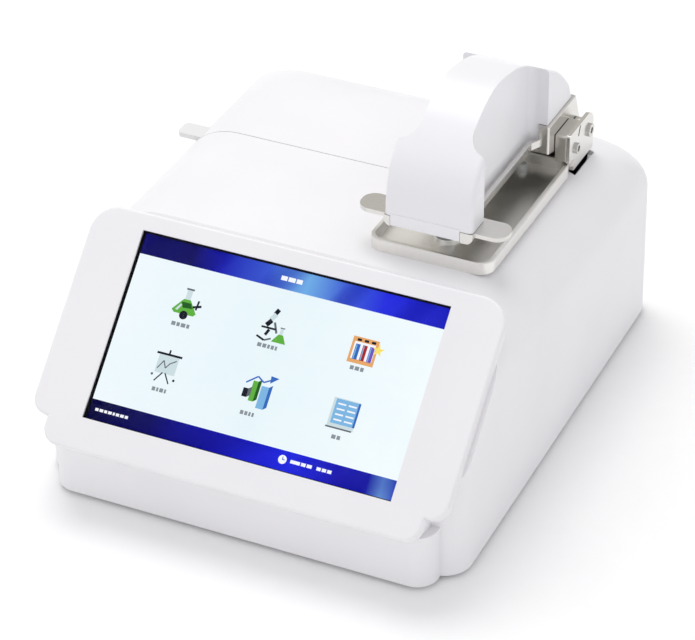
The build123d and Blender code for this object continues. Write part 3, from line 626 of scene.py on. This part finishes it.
def rackIcon(bm, at):
    mark(bm, at, barPoints(-6.6, -6.2, 5.8, 5.6), "orange")
    mark(bm, at, barPoints(-5.4, -4.4, 4.6, 3.4), "white", 1)
    for left, ink in [(-4.6, "blue"), (-1.2, "red"), (2.2, "purple")]:
        mark(bm, at, barPoints(left, -4.6, left + 2.2, 2.4), ink, 2)
        mark(bm, at, barPoints(left + 0.3, -4.4, left + 0.8, 2.0), "sky", 3)
        mark(bm, at, barPoints(left + 0.1, 3.8, left + 2.1, 4.9), "black", 3)
    mark(bm, at, starPoints(6.2, 1.6, 3.0, 1.2), "yellow", 4)


def boardIcon(bm, at):
    line = [(-3.8, -1.6), (-1.6, 2.4), (0.0, -0.8), (1.6, 1.6), (4.4, 3.4)]
    mark(bm, at, barPoints(-4.6, -3.4, 5.2, 5.0), "paleGlass")
    mark(bm, at, strokePoints((-6.0, 5.4), (6.4, 5.4), 1.0), "black", 1)
    mark(bm, at, barPoints(-0.4, 5.8, 0.4, 7.6), "black", 1)
    for start, end in zip(line, line[1:]):
        mark(bm, at, strokePoints(start, end, 0.5), "grey", 2)
    for side in (-1, 1):
        mark(bm, at, strokePoints((0.6 * side, -3.0), (3.6 * side, -7.4), 0.6), "black", 1)
    mark(bm, at, ringPoints(-5.4, -4.6, 0.6, 10), "grey", 1)
    mark(bm, at, ringPoints(5.6, -5.4, 0.6, 10), "black", 1)


# each bar: left, bottom, top, width, front ink and side ink
chartBars = [
    (-6.8, -3.4, 0.6, 2.4, "black", "grey"),
    (-3.2, -4.6, 4.6, 2.4, "green", "deepGreen"),
    (1.2, -7.0, 3.2, 3.6, "sky", "blue"),
]


def barsIcon(bm, at):
    for left, low, high, wide, front, side in chartBars:
        right = left + wide
        slant = [(right, low), (right + 1.5, low + 1.2), (right + 1.5, high + 1.2), (right, high)]
        mark(bm, at, barPoints(left, low, right, high), front)
        mark(bm, at, slant, side, 1)
    arrow = [(-6.4, 3.0), (-1.6, 6.8), (1.6, 4.8), (6.4, 7.4)]
    for start, end in zip(arrow, arrow[1:]):
        mark(bm, at, strokePoints(start, end, 0.7), "blue", 3)
    mark(bm, at, [(4.6, 5.0), (8.2, 8.0), (4.2, 8.4)], "blue", 3)


def pageIcon(bm, at):
    mark(bm, at, barPoints(-6.6, -6.6, 6.0, 6.6), "paleGlass")
    mark(bm, at, barPoints(-5.4, -4.8, 6.2, 6.2), "sky", 1)
    mark(bm, at, barPoints(5.2, -4.8, 6.2, 6.2), "blue", 2)
    for row in range(4):
        level = 3.8 - row * 2.4
        for left in (-4.2, 0.8):
            mark(bm, at, barPoints(left, level, left + 3.8, level + 0.7), "white", 3)
    mark(bm, at, barPoints(-7.0, -7.0, 5.4, -6.3), "grey", 3)


icons = {
    "flaskIcon": (flaskIcon, (-45.2, 16.8)),
    "microscopeIcon": (microscopeIcon, (-3.2, 16.4)),
    "rackIcon": (rackIcon, (42.0, 16.4)),
    "boardIcon": (boardIcon, (-45.4, -12.4)),
    "barsIcon": (barsIcon, (0.0, -13.0)),
    "pageIcon": (pageIcon, (42.0, -12.8)),
}
for name, (draw, centre) in icons.items():
    bm = bmesh.new()
    draw(bm, centre)
    finishPiece(bm, name, list(inks.values()))
print("screen done")

# floor, light and camera
stageSet = {"size": 6.0, "color": (0.985, 0.985, 0.985), "fibres": 120.0, "rough": 0.9}


def makeFloor(settings):
    bm = bmesh.new()
    bmesh.ops.create_grid(bm, x_segments=1, y_segments=1, size=settings["size"] / 2)
    mesh = bpy.data.meshes.new("floor")
    bm.to_mesh(mesh)
    bm.free()
    floor = bpy.data.objects.new("floor", mesh)
    bpy.context.scene.collection.objects.link(floor)
    material, tree, shader = newMaterial("floorPaper")
    fibres = objectNoise(tree, settings["fibres"])
    pale = settings["color"]
    clouded(tree, shader, fibres, pale, tuple(c * 1.01 for c in pale))
    shader.inputs["Roughness"].default_value = settings["rough"]
    mesh.materials.append(material)


makeFloor(stageSet)

lights = {
    "topSoft": {
        "place": (-0.45, 0.45, 1.6),
        "aim": (0, 0.02, 0.05),
        "size": 1.2,
        "power": 13.0,
        "color": (1, 1, 1),
    },
    "rightSoft": {
        "place": (1.5, -0.5, 0.5),
        "aim": (0, 0, 0.08),
        "size": 1.0,
        "power": 1.2,
        "color": (1, 0.99, 1),
    },
    "frontSoft": {
        "place": (-0.35, -1.5, 0.55),
        "aim": (0, 0, 0.08),
        "size": 1.1,
        "power": 1.7,
        "color": (1, 0.99, 1),
    },
}


def aimAt(place, aim):
    return (Vector(aim) - Vector(place)).to_track_quat("-Z", "Y").to_euler()


for name, light in lights.items():
    lamp = bpy.data.lights.new(name, "AREA")
    lamp.shape = "DISK"
    lamp.size = light["size"]
    lamp.energy = light["power"]
    lamp.color = light["color"]
    holder = bpy.data.objects.new(name, lamp)
    holder.location = light["place"]
    holder.rotation_euler = aimAt(light["place"], light["aim"])
    bpy.context.scene.collection.objects.link(holder)

# an even pale room with one darker patch behind, which the satin metal mirrors
room = {
    "pale": (0.70, 0.70, 0.715),
    "dim": (0.58, 0.565, 0.535),
    "patch": (-0.35, 0.74, 0.58),
    "edges": (0.80, 0.98),
    "strength": 1.0,
}


def makeRoom(settings):
    world = bpy.data.worlds.new("studio")
    bpy.context.scene.world = world
    world.use_nodes = True
    tree = world.node_tree
    background = tree.nodes["Background"]
    place = addNode(tree, "ShaderNodeTexCoord")
    toward = addNode(tree, "ShaderNodeVectorMath", operation="DOT_PRODUCT")
    toward.inputs[1].default_value = Vector(settings["patch"]).normalized()
    tree.links.new(place.outputs["Generated"], toward.inputs[0])
    low, high = settings["edges"]
    shade = rampBetween(tree, toward.outputs["Value"], [(low, settings["pale"]), (high, settings["dim"])])
    shade.color_ramp.interpolation = "EASE"
    tree.links.new(shade.outputs["Color"], background.inputs["Color"])
    background.inputs["Strength"].default_value = settings["strength"]


makeRoom(room)
bpy.context.scene.view_settings.view_transform = "Standard"

# target, distance, lens and sensor in millimetres, the angles in degrees
cameraSet = {
    "target": (-14.996, 33.0, 18.141),
    "turn": 25.727,
    "rise": 35.395,
    "roll": -1.376,
    "distance": 1519.67,
    "lens": 165.16,
    "sensor": 36.0,
    "clipEnd": 20.0,
}


def makeCamera(settings):
    turn = radians(settings["turn"])
    rise = radians(settings["rise"])
    back = Vector((sin(turn) * cos(rise), -cos(turn) * cos(rise), sin(rise)))
    data = bpy.data.cameras.new("camera")
    data.lens = settings["lens"]
    data.sensor_width = settings["sensor"]
    data.clip_end = settings["clipEnd"]
    camera = bpy.data.objects.new("camera", data)
    spot = (Vector(settings["target"]) + back * settings["distance"]) * mm
    level = back.to_track_quat("Z", "Y").to_matrix().to_4x4()
    roll = Matrix.Rotation(radians(settings["roll"]), 4, "Z")
    camera.matrix_world = Matrix.Translation(spot) @ level @ roll
    bpy.context.scene.collection.objects.link(camera)
    bpy.context.scene.camera = camera


makeCamera(cameraSet)
print("stage done")
